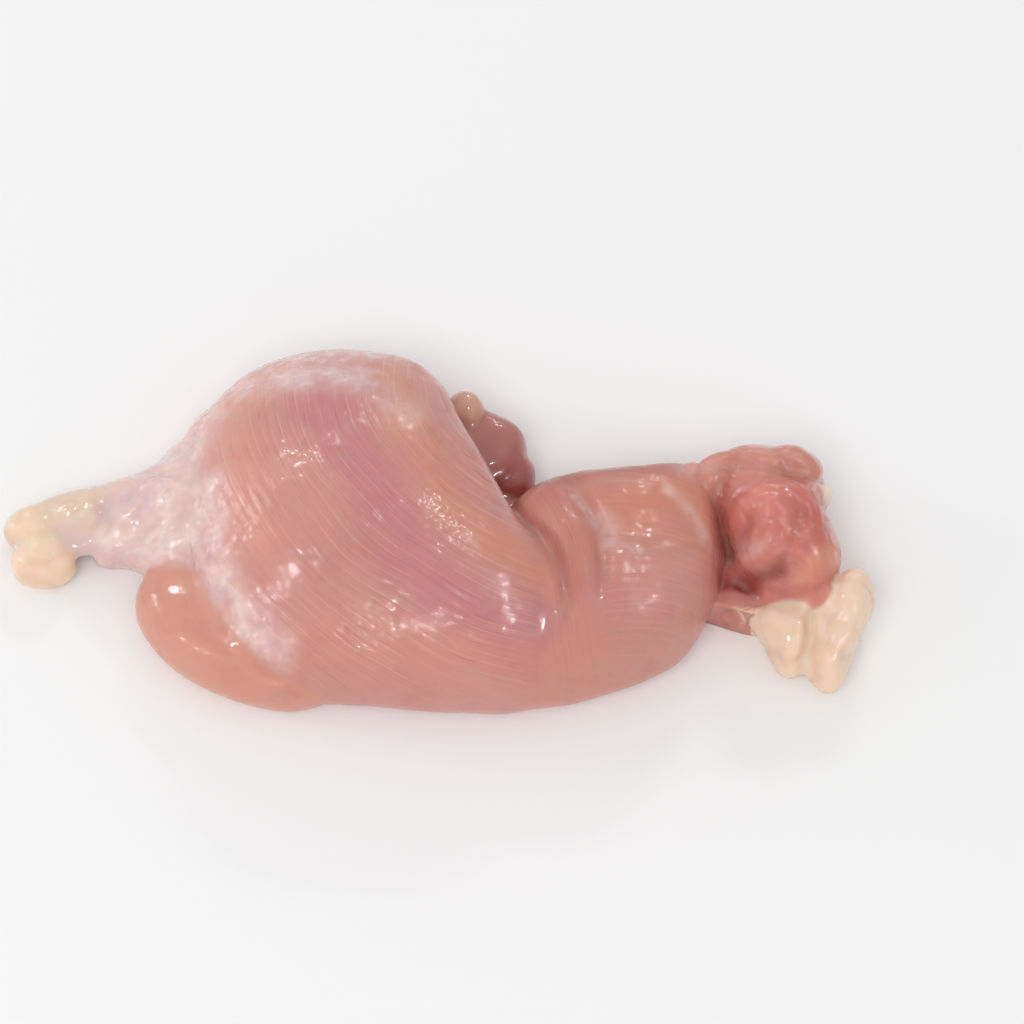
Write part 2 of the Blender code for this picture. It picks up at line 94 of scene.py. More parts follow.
# Each lobe: the middle of its plan, crown height, floor height, dome power, and its outline
# as points (x, y, height of the rim, radius of the edge above the rim), all in mm.
LOBES = {
    "fan": ((-21, -3), 27.5, -3, 2.3, [
        (5.8, -11, 13.5, 3), (1.6, -6.8, 15.5, 2.6), (-1, -1.6, 16.5, 2.4), (-4.2, 4.6, 17, 2.4),
        (-7.8, 11.8, 17, 2.4), (-10.4, 18.6, 15.5, 2.6), (-15, 25.6, 11, 4), (-24, 29.4, 8, 5),
        (-34, 29, 8, 4.6), (-42, 25, 9, 3.6), (-47.6, 18.8, 9.6, 3), (-50.6, 11.4, 10, 2.5),
        (-51.2, 0, 10, 2.5), (-50.4, -9.5, 9, 2.2), (-48.8, -16, 8, 2.2), (-45.8, -21.6, 7, 2.4),
        (-41.4, -26, 5.5, 3), (-35.5, -28.6, 4.2, 4.5), (-28, -30.1, 3.6, 6), (-18, -31.2, 3.4, 7),
        (-7, -31.6, 3.4, 7.5), (2, -30.6, 3.6, 7.5), (8, -27, 5, 6.5), (9.4, -21.5, 7.5, 5.5),
        (8.4, -15.8, 11, 4)]),
    "under": ((-44, -16), 10.5, -3, 2.6, [
        (-28, -12, 4, 3), (-34, -4, 4, 3), (-46, -3, 4, 3), (-55, -5.2, 3.6, 3.4), (-58.8, -9.4, 3.2, 3.6),
        (-59.2, -13.6, 3, 3.8), (-57.2, -19.4, 3, 4), (-53.2, -24.4, 3, 4), (-47.6, -27.9, 3, 4),
        (-40.3, -30.2, 3, 4), (-33.5, -30.6, 3, 4), (-28, -27, 3, 3)]),
    "funnel": ((-46, 3.4), 14.6, -3, 1.7, [
        (-36, 4, 8, 3), (-41, 17, 9.5, 2.5), (-47, 20, 9, 2), (-52.4, 14.4, 7, 1.8), (-56.6, 10, 5.4, 1.8),
        (-61.4, 7, 4.4, 1.8), (-66, 6, 4, 1.8), (-67, 0, 3.6, 1.8), (-66, -5, 3.2, 1.8),
        (-61, -6, 3.5, 1.8), (-55, -9, 4.6, 2), (-48, -11, 6.4, 2.4), (-40, -8, 8, 3)]),
    "arm": ((14.5, -10.5), 20.3, -3, 3.0, [
        (33.6, -6, 8.5, 4.5), (32.8, 2, 11, 3.2), (28.4, 6.8, 12, 3), (21, 6.8, 12.2, 3.2),
        (13, 6.6, 12, 3.2), (5, 4.8, 11, 3), (-2, -1, 10, 3), (-7, -10, 8, 4), (-8, -21, 5, 4),
        (-3, -29.6, 3.4, 5), (6.4, -30.2, 3.4, 6.5), (13.6, -29, 3.4, 6.8), (19.6, -26.8, 3.6, 6.6),
        (25.6, -23.4, 4, 6.2), (29.6, -19, 4.4, 5.8), (32.6, -12.8, 6, 5.2)]),
    "flap_low": ((39.5, 3), 13, -3, 3.0, [
        (51, 3, 5.6, 2.8), (50.6, 9.2, 5.6, 2.6), (44, 11.6, 5.8, 2.6), (34, 10, 6, 2.6),
        (27, 5, 7, 3), (30, -3, 6, 3), (38, -5, 6, 3), (47, -2.5, 6, 3)]),
    "flap_top": ((38.5, 4.2), 18.2, 2, 3.4, [
        (49.4, 4.4, 12.4, 2), (48.8, 8.6, 12.6, 1.7), (42.6, 10.4, 12.8, 1.7), (35.6, 9.8, 13, 1.7),
        (29.4, 6.4, 13, 2), (28.4, 2.4, 12.6, 2), (34, -0.6, 12, 2.4), (43, -0.4, 12, 2.4)]),
    "column": ((43.4, -5), 19, 0, 2.8, [
        (51.4, -6.4, 9, 4), (50.2, -1, 10.4, 3.4), (48, 3.4, 12, 2.6), (42, 4.6, 12.6, 2.2),
        (36.8, 2, 12.6, 2.4), (34.6, -4, 11, 3), (35.6, -10, 9.4, 3.4), (39, -14.4, 7.6, 3.2),
        (44, -16, 7, 3.2), (48.6, -15, 7, 3.4), (50.9, -11.2, 8, 3.8)]),
    "bulb": ((41.4, -3.2), 19.9, 0, 2.6, [
        (49, -5.2, 9.4, 3.6), (48.6, -1.4, 11, 3.2), (44.8, 1.2, 12.6, 2.6), (40.3, 2.2, 13, 2.2),
        (36.8, 1.9, 13, 1.9), (34.5, -0.2, 12.6, 1.7), (34.3, -3.4, 12, 1.7), (36.6, -6.7, 11.4, 1.7),
        (41.4, -8.4, 11.2, 2), (46.8, -8.7, 10, 3)]),
    "lip": ((39.6, -11.4), 9.4, -3, 2.4, [
        (48, -11, 4, 2.8), (44, -6, 5, 2.6), (34, -6, 5, 2.6), (31.6, -11.6, 3.6, 2.8),
        (33.4, -15.4, 3, 2.8), (40.8, -16.2, 2.8, 2.8), (46.8, -15, 3, 2.8)]),
    "fat_right": ((53, -13.6), 12, -2, 2.8, [
        (58, -12.8, 4.8, 3.6), (56.8, -9.4, 5, 3.4), (53.6, -8.6, 5.2, 3.2), (49.6, -10.6, 5.6, 3),
        (47.2, -14.8, 5.2, 2.8), (48.2, -19, 4.8, 2.8), (52.6, -21.4, 4.2, 3.2), (56.6, -17.4, 4.4, 3.4)]),
    "fat_left": ((43.4, -18.6), 10, -2, 2.8, [
        (50, -18, 5, 2.8), (48, -13.6, 5, 2.8), (42, -14.2, 5, 2.8), (38.3, -16.2, 4.2, 2.8),
        (39.2, -19.8, 3.8, 2.6), (41.2, -23.4, 3.2, 2.6), (43.4, -26, 2.8, 2.4), (45.8, -25.4, 3, 2.4),
        (48.4, -22, 4, 2.6)]),
    "fat_tail": ((49.6, -21.6), 9.4, -2, 2.8, [
        (54.6, -20, 4, 3), (52.4, -16, 4.8, 3), (47, -16.2, 4.8, 2.8), (45, -20.6, 4, 2.6),
        (46.4, -25, 3, 2.4), (48.6, -28.6, 2.4, 2.2), (50.8, -28.8, 2.4, 2.2), (53, -25, 3, 2.6)]),
    "back_roll": ((-27, 17), 13, -3, 2.4, [
        (-8, 16.6, 4.6, 3), (-11.4, 24.4, 4.2, 3.4), (-21, 30, 3.6, 3.8), (-32, 31, 3.6, 3.8),
        (-42.4, 26.4, 4, 3.6), (-48, 18.6, 4.6, 3), (-38, 6, 6, 3), (-14, 6, 6, 3)]),
    "tongue": ((-2.6, 12.6), 10.4, -3, 3.2, [
        (3.4, 12, 4.8, 3), (3.2, 16.4, 4.4, 3), (0, 19.4, 4.2, 3), (-6.4, 20.6, 4.6, 3),
        (-12, 14, 5, 3), (-8, 4, 6, 3), (-1.6, 5, 6, 3), (1.8, 7.6, 5.2, 3)]),
    "tongue_low": ((0.6, 8.6), 8.6, -3, 2.6, [
        (4.8, 8.2, 3.6, 2.6), (4.2, 12, 3.6, 2.6), (0, 13.6, 4, 2.6), (-4, 10, 4, 2.6), (-2, 4, 4, 2.6),
        (3, 4.2, 3.8, 2.6)]),
    "tongue_tip": ((-6.4, 18.6), 12, 0, 2.6, [
        (-3.6, 17.8, 8, 2), (-4, 21, 7.4, 2), (-7, 22.8, 7.2, 2), (-9.8, 21, 7.6, 2), (-9.8, 15.6, 8.8, 2),
        (-5.8, 14.2, 9, 2)]),
    "second_edge": ((-14, 3), 16, 2, 3, [
        (3.2, -9, 11.5, 1.8), (0.4, -3.4, 12.5, 1.6), (-2.6, 3, 13, 1.6), (-5.8, 9.6, 13, 1.6),
        (-8.8, 15, 12, 1.8), (-16, 18, 11, 2), (-25, 8, 11, 2), (-20, -6, 11, 2), (-6, -12, 11, 2)]),
    "ridge": ((44, -12), 15, 0, 2.6, [
        (50.4, -14.6, 7, 2.4), (47.4, -10.6, 9.4, 2.4), (42.4, -7.8, 11, 2.4), (38.6, -8.6, 10, 2.4),
        (38.6, -12.2, 8, 2.4), (42.6, -15.6, 6.6, 2.4), (47.4, -17, 5.6, 2.4)]),
    "bead": ((38.8, -9.3), 15, 0, 2.2, [
        (43.4, -10, 9.4, 2), (41.9, -7.4, 10.4, 2), (38.8, -6.3, 10.8, 1.8), (35.6, -6.9, 10.2, 1.6),
        (34.5, -8.8, 9.4, 1.6), (35.2, -10.9, 8.4, 1.6), (37.4, -12, 7.8, 1.8), (41, -12, 8, 2)]),
    "button": ((28.6, 4.4), 17.6, 4, 2.2, [
        (31.4, 4.6, 12, 2), (29.4, 6.6, 12, 2), (26.4, 5.8, 12, 2), (25.8, 3.6, 12, 2), (28.4, 2.2, 12, 2)]),
    "pip": ((49.4, 1.6), 14.6, 6, 2.2, [
        (51.4, 1.6, 11, 1.8), (50, 3.6, 11.4, 1.8), (47.8, 2, 11.4, 1.8), (49.2, -0.8, 11, 1.8)]),
    "knob": ((-74, -4.4), 6, -2, 2.6, [
        (-69, -4.6, 2.4, 2.4), (-71, -1, 2.8, 2.4), (-75.6, -0.4, 2.8, 2.4), (-78.6, -3.6, 2.4, 2.4),
        (-77.6, -7.8, 2, 2.4), (-73.4, -9, 1.8, 2.4), (-70, -7.8, 2, 2.4)]),
    "knob_top": ((-75.8, 1.2), 6.2, -2, 2.6, [
        (-71, 1.2, 2.8, 2.4), (-73.6, 4.8, 2.8, 2.4), (-77.4, 4.4, 2.6, 2.4), (-79.6, 1.2, 2.4, 2.4),
        (-78.4, -2, 2.4, 2.4), (-73, -2.6, 2.6, 2.4)]),
    "base": ((-4, -9), 8, -3, 4.0, [
        (50, -8, 3, 3), (44, 6, 3, 3), (30, 3, 3, 3), (10, 2, 3, 3), (-8, 12, 3, 3), (-24, 24, 3, 3),
        (-40, 18, 3, 3), (-48, 6, 3, 3), (-54, -9, 3, 3), (-50, -22, 3, 3), (-36, -27, 3, 3),
        (-18, -28, 3, 3), (0, -28, 3, 3), (18, -24, 3, 3), (30, -15, 3, 3), (42, -17, 3, 3)]),
}

# The strap of tendon: points along it, with its half widths and half heights.
STRAP = [(-40, 3.6, 12), (-50, 2.6, 10), (-57, 1.6, 7.2), (-64, 1.7, 4.8), (-71, 1.2, 3), (-77, -0.4, 2.4)]
STRAP_WIDTHS = [9.4, 8.6, 6.8, 5.8, 5.4, 4.4]
STRAP_HEIGHTS = [3.4, 3.3, 3.1, 2.8, 2.8, 2.6]

# Grooves carved in the top: points (x, y), half width and depth, which is below 0 for a raised border.
GROOVES = [
    ([(-2, 3), (0.6, -4), (4.4, -11), (6.4, -17), (5.6, -24)], 1.4, 1.3),
    ([(-50.2, -8), (-48.8, -15), (-45.8, -20.8), (-41, -25.6)], 1.3, -0.8),
    ([(7.6, 4), (9.6, -2), (11.6, -7), (12.6, -12), (12, -20)], 1.6, 1.4),
    ([(12.4, -8), (15.3, -10.6), (20, -11.8), (26, -10.6), (31, -7.4)], 1.4, 0.8),
    ([(21, -0.6), (25.4, -3), (28.6, -7), (29, -12)], 1.6, 0.5),
    ([(33.4, 5), (32.6, -1), (33, -7), (32, -16)], 1.4, 1.8),
    ([(33.6, -10.8), (36.4, -12.4), (40.4, -13), (45.6, -12.6)], 1.3, 1.8),
    ([(36.2, -3.4), (40, -1.6), (43.6, -3.4), (44.8, -8)], 1.3, 0.6),
    ([(29, 4), (35.6, 5), (42, 3.6), (49.4, 4.2)], 1.4, 1.0),
    ([(47.2, -14), (46.4, -17.4), (45.8, -20.4), (46, -25), (46.6, -30)], 1.1, 1.6),
    ([(50.8, -13.2), (50.2, -16.8), (48.6, -19.4), (48.4, -24)], 0.9, 0.7),
]

# Where the fan runs on into the arm with only a soft valley between them.
SEAM = [(5, -7), (8.4, -14), (9, -21), (6, -30)]
SEAM_WIDTH = 5

# Space between two bundles of fibres, and how far their lines lean over per mm of height.
BUNDLE = 1.7
LEAN = 0.5

# The fibres of the fan and of the under lobe follow arcs: their centres, and the distances from
# them at which lengths along the arcs are true. The arcs of the under lobe are a little denser.
ARC_CENTRE = (17.9, 26.6)
ARC_REACH = 45
UNDER_CENTRE = (-36, -8)
UNDER_REACH = 22
UNDER_DENSITY = 1.1

# The fan's fibres fade in from this distance to their centre, over this length.
HUB = 28
HUB_FADE = 7

# Direction of the fibres of the torn end.
TORN_RUN = (0.8, -0.5)

# The arm's outer fibres run lengthwise, bowed about its middle.
ARM_MIDDLE = 16
ARM_BOW = 0.02

# Where the arm's inner bundle meets the outer fibres and how wide that border is, and how its own
# lines, from front to back, grow denser and slant.
INNER_X = 11.4
INNER_BORDER = 1.6
INNER_DENSITY = 1.2
INNER_SLANT = 0.25

# Height above which fibres grow clear, over how much height, and how much of them shows below it.
CLEAR_FROM = 5
CLEAR_OVER = 9
LOW_CLARITY = 0.15

# Tints as they look in even light, as sRGB from 0 to 255.
TINTS = {
    "fan": (203, 141, 133),
    "under": (214, 152, 132),
    "funnel": (218, 182, 174),
    "strap": (224, 200, 184),
    "arm": (202, 138, 124),
    "flap_low": (196, 126, 112),
    "flap_top": (202, 132, 117),
    "column": (202, 118, 106),
    "bulb": (212, 128, 114),
    "lip": (192, 114, 108),
    "fat_right": (236, 210, 184),
    "fat_left": (236, 210, 184),
    "fat_tail": (236, 210, 184),
    "back_roll": (202, 136, 124),
    "tongue": (176, 108, 100),
    "tongue_low": (166, 96, 88),
    "second_edge": (190, 118, 110),
    "tongue_tip": (206, 160, 138),
    "ridge": (212, 126, 110),
    "bead": (208, 124, 118),
    "button": (210, 148, 130),
    "pip": (240, 226, 210),
    "knob": (236, 214, 178),
    "knob_top": (234, 212, 178),
    "base": (196, 124, 112),
}
FAT = ("fat_right", "fat_left", "fat_tail", "knob", "knob_top")
TORN = ("flap_low", "flap_top", "column", "bulb", "lip", "ridge", "bead", "button")

# How clearly the fibres show on each lobe. Hardly on the ones that aren't named.
FIBRES = {
    "fan": 1, "arm": 0.55, "under": 0.3, "flap_low": 0.4, "flap_top": 0.4, "column": 0.25, "ridge": 0.3,
}

LAVENDER = (222, 192, 194)
IVORY = (240, 218, 210)
CREAM = (240, 214, 190)
BUTTER = (238, 207, 178)
PALE_LINE = (230, 184, 164)
BLUSH = (224, 164, 148)
BRUISE = (186, 108, 106)
# Blood red: the meat's veins, and painted shade in the creases of torn meat.
BLOOD_AND_SHADE = (150, 52, 46)
# Painted shade for the creases between the folds of fat.
FAT_CREASE_SHADE = (214, 172, 138)

# Strokes of colour, each along a bent line: its points in plan, half width, tint and strength. The darker
# strokes marked below are painted shade: on the arm's back slope and in creases along grooves.
STROKES = [
    ([(-19, 18), (-17, 8), (-14, -2), (-8.4, -9.8), (-1.8, -14.2), (3, -16.6)], 3.4, (210, 140, 112), 0.65),
    ([(-33, 13), (-27, 4), (-22, -7), (-16.6, -16), (-8, -22.6), (1, -24)], 5, (194, 122, 130), 0.7),
    ([(-8, 14), (-5, 3), (-1, -5)], 3.2, (194, 120, 112), 0.5),
    ([(-44, -26), (-24, -26), (0, -29), (10, -27)], 4, (212, 142, 128), 0.5),
    ([(-45, 8), (-43, -2), (-42, -10)], 4, (218, 152, 138), 0.6),
    ([(-46, 16), (-40, 20)], 5, (222, 158, 132), 0.6),
    ([(5, 0), (8, -5), (8.4, -18)], 2.6, (194, 116, 106), 0.6),
    ([(16, -4), (28, -2)], 4.6, (210, 132, 106), 0.75),
    # Painted shade: the arm's back slope, darker where it curves away from the light.
    ([(7, 3.6), (15, 4.6), (25, 4.6)], 2.6, (176, 104, 98), 0.7),
    # Painted shade: a dark line in the crease where the fan's edge lies over the arm.
    ([(-0.5, 0.5), (1.6, -4), (5.2, -11), (7, -16.6)], 0.9, (168, 92, 84), 0.55),
    # Painted shade: a dark line in the groove beside the arm's inner bundle.
    ([(8.4, 0), (10.6, -5), (12.2, -12), (11.6, -19)], 0.8, (176, 98, 92), 0.4),
    ([(14, -20), (28, -16)], 5.5, (206, 142, 138), 0.7),
    ([(45, -3), (47, -8)], 3, (190, 96, 84), 0.6),
    # Deep red in the hollow below the torn end: partly the meat's own red, partly painted shade.
    ([(33.6, -11), (37.4, -12.6), (41, -12.8)], 1.3, (140, 44, 38), 0.9),
    # Painted shade: a dark red line in the crease at the left edge of the torn end.
    ([(33.2, 3), (32.8, -4), (33, -11)], 1.2, (170, 76, 68), 0.6),
    ([(32, 7), (44, 7)], 2.6, (206, 140, 124), 0.6),
    ([(44, -14), (50, -10)], 1.6, (226, 158, 120), 0.5),
    ([(-1, 6), (6, 6)], 4, (160, 74, 64), 0.7),
    ([(-76, 1), (-72.6, 3), (-65, 2.6)], 3, (230, 208, 180), 0.8),
    ([(-63.4, 2.6), (-60, 2.4)], 1.8, (206, 178, 186), 0.7),
    ([(-74, -3), (-66, -3.4)], 2, (212, 182, 188), 0.6),
]

# Strokes of silvery membrane, written the same way with only a strength.
VEILS = [
    ([(-57, 1), (-54, 8), (-50, 16)], 5.5, 0.9),
    ([(-48.4, 1), (-48.4, -8), (-46.4, -15.6), (-43, -21.6), (-39, -25)], 3.4, 0.9),
    ([(-43, 19), (-34, 18.8), (-25, 17.4)], 3.2, 0.85),
    ([(-42, 25), (-20, 26)], 4, 0.7),
    ([(-22, 15), (-17, 9)], 3, 0.4),
    ([(-64, -3), (-55, -6.4)], 2.6, 1.0),
    ([(9, -1), (12, -5.4)], 0.7, 0.4),
    ([(12.6, -6), (14.2, -9.4)], 1.8, 0.55),
    ([(14.6, -10), (18.4, -11.8)], 0.7, 0.45),
    ([(23.6, -0.8), (26.6, -3.8), (29, -7.4)], 1.3, 0.45),
    ([(34.8, -8), (37.4, -9.4)], 1.3, 0.35),
    ([(26.6, 3.4), (31, 4)], 1.4, 0.4),
]

# Small lamps that show only in the wet gloss: place, size and power.
LAMPS = [
    ((-0.62, -0.42, 0.5), (0.05, 0.05), 2),
    ((-0.45, 0.5, 0.7), (0.06, 0.03), 1.6),
    ((0.3, 0.2, 0.9), (0.04, 0.04), 1.2),
    ((0.55, -0.35, 0.6), (0.05, 0.03), 2),
    ((-0.1, -0.75, 0.45), (0.06, 0.02), 1.2),
]

# Heights of the finest relief: grooves between bundles of fibres, grain of two sizes, film and its
# crinkles, and folds of fat and of torn meat. All of it fades out below RELIEF_FADE.
BUNDLE_DEPTH = 0.07
GRAIN_HEIGHT = 0.07
SPECK_HEIGHT = 0.04
FILM_HEIGHT = 0.05
CRINKLE_HEIGHT = 0.24
FAT_FOLD = 0.6
TORN_FOLD = 0.8
RELIEF_FADE = 2

# The camera of the photo, in the plan: its place, and its right, down and forward directions.
CAMERA_AT = (-58.5, -255.7, 498.7)
CAMERA_AXES = (
    (0.994413, -0.052808, 0.091406),
    (-0.00439, -0.88582, -0.464009),
    (0.105473, 0.461015, -0.881102),
)
SENSOR = 36
LENS = 123
NEAREST = 0.02

# The floor lies this far below the meat, so that the two faces don't meet.
FLOOR_SIZE = 6
FLOOR_GAP = 0.02 * MM

# The place that all lights are turned to.
AIM = (0, 0, 0.01)


def through(values, place, closed=True):
    """Value at a place in a row of values, by a Catmull-Rom curve."""
    count = len(values)
    i = int(math.floor(place))
    if closed:
        a, b, c, d = (values[(i + k) % count] for k in (-1, 0, 1, 2))
    else:
        i = min(i, count - 2)
        a, b, c, d = (values[min(max(i + k, 0), count - 1)] for k in (-1, 0, 1, 2))
    t = float(place - i)
    return b + 0.5 * t * (c - a + t * (2 * a - 5 * b + 4 * c - d + t * (3 * (b - c) + d - a)))


def top_of(q, reach, rim, edge, crown, power):
    """Height of the top at a share q of the way from the middle to the rim."""
    inward = np.clip(reach * (1 - q) / edge, 0, 1)
    shoulder = rim + edge * np.sqrt(1 - (1 - inward) ** 2)
    return shoulder + (crown - rim - edge) * (1 - q ** power)


def under_of(q, reach, rim, floor):
    """Height of the underside at a share q of the way from the middle to the rim."""
    inward = np.clip(reach * (1 - q) / TUCK, 0, 1)
    return rim - (rim - floor) * np.sqrt(1 - (1 - inward) ** 2)


def new_object(bm, name):
    """A new object of this mesh, in the scene."""
    bmesh.ops.recalc_face_normals(bm, faces=bm.faces)
    mesh = bpy.data.meshes.new(name)
    bm.to_mesh(mesh)
    bm.free()
    obj = bpy.data.objects.new(name, mesh)
    bpy.context.scene.collection.objects.link(obj)
    return obj


def lobe(name):
    """One lobe: a sphere drawn out to the outline of the lobe, with a domed top."""
    middle, crown, floor, power, outline = LOBES[name]
    row = np.array(outline, float)
    bm = bmesh.new()
    bmesh.ops.create_uvsphere(bm, u_segments=LOBE_SEGMENTS, v_segments=LOBE_RINGS, radius=1)
    for v in bm.verts:
        x, y, z = v.co
        place = math.atan2(y, x) / (2 * math.pi) % 1 * len(row)
        px, py, rim, edge = through(row, place)
        q = min(1, math.hypot(x, y))
        reach = math.hypot(px - middle[0], py - middle[1])
        if z > 0:
            height = top_of(q, reach, rim, edge, crown, power)
        else:
            height = under_of(q, reach, rim, floor)
        across = middle[0] + (px - middle[0]) * q
        v.co = Vector((across, middle[1] + (py - middle[1]) * q, height)) * MM
    return new_object(bm, name)


def strap():
    """The strap: rings along its bent line, rounded off at the ends."""
    line = [Vector(point) for point in STRAP]
    last = len(line) - 1
    bm = bmesh.new()
    rings = []
    for place in np.linspace(0, last, last * STRAP_RINGS + 1):
        here = through(line, place, closed=False)
        before, after = max(place - STRAP_STEP, 0), min(place + STRAP_STEP, last)
        ahead = through(line, after, closed=False) - through(line, before, closed=False)
        side = Vector((0, 0, 1)).cross(ahead).normalized()
        up = ahead.normalized().cross(side)
        inward = min(1, min(place, last - place) / STRAP_CAP)
        cap = max(NARROWEST, math.sqrt(1 - (1 - inward) ** 2))
        wide = through(STRAP_WIDTHS, place, closed=False) * cap
        high = through(STRAP_HEIGHTS, place, closed=False) * cap
        turns = [2 * math.pi * j / STRAP_SIDES for j in range(STRAP_SIDES)]
        ring = [here + side * wide * math.cos(turn) + up * high * math.sin(turn) for turn in turns]
        rings.append([bm.verts.new(point * MM) for point in ring])
    for low, high in zip(rings, rings[1:]):
        for j in range(STRAP_SIDES):
            k = (j + 1) % STRAP_SIDES
            bm.faces.new((low[j], low[k], high[k], high[j]))
    bm.faces.new(rings[0])
    bm.faces.new(rings[-1])
    return new_object(bm, "strap")


def applied(obj):
    """Turns the modifiers of an object into its mesh."""
    graph = bpy.context.evaluated_depsgraph_get()
    mesh = bpy.data.meshes.new_from_object(obj.evaluated_get(graph))
    obj.modifiers.clear()
    obj.data = mesh
    return obj


def softened(obj, rounds, group=""):
    """Smoothed evenly, or as much as the weights of a vertex group say."""
    smooth = obj.modifiers.new("Smooth", "SMOOTH")
    smooth.factor = 0.5
    smooth.iterations = rounds
    smooth.vertex_group = group
    return applied(obj)


def fused(parts, name):
    """All parts as one skin, softened where they meet."""
    bm = bmesh.new()
    for part in parts:
        bm.from_mesh(part.data)
        bpy.data.objects.remove(part)
    obj = new_object(bm, name)
    remesh = obj.modifiers.new("Remesh", "REMESH")
    remesh.mode = "VOXEL"
    remesh.voxel_size = VOXEL
    return softened(applied(obj), SOFTENING)


def points_of(obj):
    """The points of a mesh, in millimetres."""
    points = np.empty(len(obj.data.vertices) * 3)
    obj.data.vertices.foreach_get("co", points)
    return points.reshape(-1, 3) / MM


def put_points(obj, points):
    """Moves the points of a mesh to these places, given in millimetres."""
    obj.data.vertices.foreach_set("co", (points * MM).ravel())
    obj.data.update()


def from_line(x, y, line):
    """Plan distance from points to a bent line, and the share of the way along it."""
    best = np.full(len(x), np.inf)
    share = np.zeros(len(x))
    steps = len(line) - 1
    for i, ((ax, ay), (bx, by)) in enumerate(zip(line, line[1:])):
        dx, dy = bx - ax, by - ay
        t = np.clip(((x - ax) * dx + (y - ay) * dy) / (dx * dx + dy * dy), 0, 1)
        gap = np.hypot(x - ax - t * dx, y - ay - t * dy)
        share = np.where(gap < best, (i + t) / steps, share)
        best = np.minimum(best, gap)
    return best, share


def curved(line):
    """A bent line with points added along its Catmull-Rom curve."""
    row = np.array(line, float)
    last = len(row) - 1
    places = np.linspace(0, last, last * CURVE_STEPS + 1)
    return [tuple(through(row, place, closed=False)) for place in places]


def waves(points, scale, seed):
    """Smooth noise from -1 to 1 in three directions, with features of about the given size."""
    shifts = [Vector((seed * 17.3 + k * 31.7, seed * 5.1, seed * 9.7)) for k in range(3)]
    return np.array([[noise.noise(Vector(p) / scale + shift) for shift in shifts] for p in points])


def ripples(points, scale, seed):
    """Smooth noise from -1 to 1, with features of about the given size."""
    shift = Vector((seed * 13.1, seed * 7.7, seed * 3.3))
    return np.array([noise.noise(Vector(p) + shift) for p in points / scale])


def billows(points, scale, seed):
    """Rounded lumps with creases between them, from about 0 in the creases up to 1."""
    return np.sqrt(ripples(points, scale, seed) ** 2 + 0.01)


def eased(obj):
    """Extra softening along the seam of the fan and the arm."""
    x, y, z = points_of(obj).T
    gap = from_line(x, y, curved(SEAM))[0]
    weights = np.exp(-(gap / SEAM_WIDTH) ** 2) * np.clip(z / LOW, 0, 1)
    group = obj.vertex_groups.new(name="seam")
    for i in np.nonzero(weights > FAINT)[0]:
        group.add([int(i)], float(weights[i]), "REPLACE")
    softened(obj, EASING, group.name)
    obj.vertex_groups.clear()
    return obj


def carved(obj):
    """Grooves, and the slight unevenness of soft meat. Both fade out near the ground."""
    points = points_of(obj)
    x, y, z = points.T
    above = np.clip(z / LOW, 0, 1)
    for line, wide, deep in GROOVES:
        gap, share = from_line(x, y, curved(line))
        ends = np.clip(np.minimum(share, 1 - share) / GROOVE_FADE, 0, 1)
        points[:, 2] -= deep * np.exp(-(gap / wide) ** 2) * ends * above
    torn = np.clip((x - TORN_X) / TORN_FADE, 0, 1)[:, None]
    move = waves(points, BROAD_SIZE, 1) * BROAD_WAVE
    move += waves(points, FINE_SIZE, 2) * (FINE_WAVE + TORN_WAVE * torn)
    move[:, 2] *= above
    put_points(obj, points + move)
    return obj


def cut_flat(obj):
    """The flat underside at height 0."""
    bm = bmesh.new()
    bm.from_mesh(obj.data)
    every = bm.verts[:] + bm.edges[:] + bm.faces[:]
    cut = bmesh.ops.bisect_plane(bm, geom=every, plane_co=(0, 0, 0), plane_no=(0, 0, -1), clear_outer=True)
    edges = [e for e in cut["geom_cut"] if isinstance(e, bmesh.types.BMEdge)]
    bmesh.ops.holes_fill(bm, edges=edges, sides=0)
    bm.to_mesh(obj.data)
    bm.free()
    return obj


def sampled(middle, outline):
    """The outline of a lobe as rows of angle, reach, rim height and edge radius."""
    row = np.array(outline, float)
    places = [k * len(row) / OUTLINE_STEPS for k in range(OUTLINE_STEPS)]
    dense = np.array([through(row, place) for place in places])
    away = dense[:, :2] - middle
    return np.arctan2(away[:, 1], away[:, 0]), np.hypot(away[:, 0], away[:, 1]), dense[:, 2], dense[:, 3]


def outside(name, points):
    """How far points lie outside a lobe, in mm and below 0 inside it."""
    middle, crown, floor, power, outline = LOBES[name]
    angles, reaches, heights, edges = sampled(middle, outline)
    x, y, z = (points - (middle[0], middle[1], 0)).T
    angle = np.arctan2(y, x)
    reach = np.interp(angle, angles, reaches, period=2 * math.pi)
    rim = np.interp(angle, angles, heights, period=2 * math.pi)
    edge = np.interp(angle, angles, edges, period=2 * math.pi)
    q = np.hypot(x, y) / reach
    inner = np.minimum(q, 1)
    above = z - top_of(inner, reach, rim, edge, crown, power)
    below = under_of(inner, reach, rim, floor) - z
    return np.maximum(np.maximum(above, below), (q - 1) * reach)


def outside_strap(points):
    """How far points lie outside the strap, in mm."""
    x, y, z = points.T
    line = curved([point[:2] for point in STRAP])
    gap, share = from_line(x, y, line)
    place = share * (len(STRAP) - 1)
    places = np.arange(len(STRAP))
    level = np.interp(place, places, [point[2] for point in STRAP])
    wide = np.interp(place, places, STRAP_WIDTHS)
    high = np.interp(place, places, STRAP_HEIGHTS)
    return np.maximum(gap - wide, np.abs(z - level) - high)


def shares(points):
    """Each lobe's share of each point, from 0 to 1, with a soft border between lobes."""
    names = list(LOBES) + ["strap"]
    gaps = np.array([outside(name, points) for name in LOBES] + [outside_strap(points)])
    gaps -= gaps.min(axis=0)
    weights = np.exp(-gaps / BORDER)
    return dict(zip(names, weights / weights.sum(axis=0)))


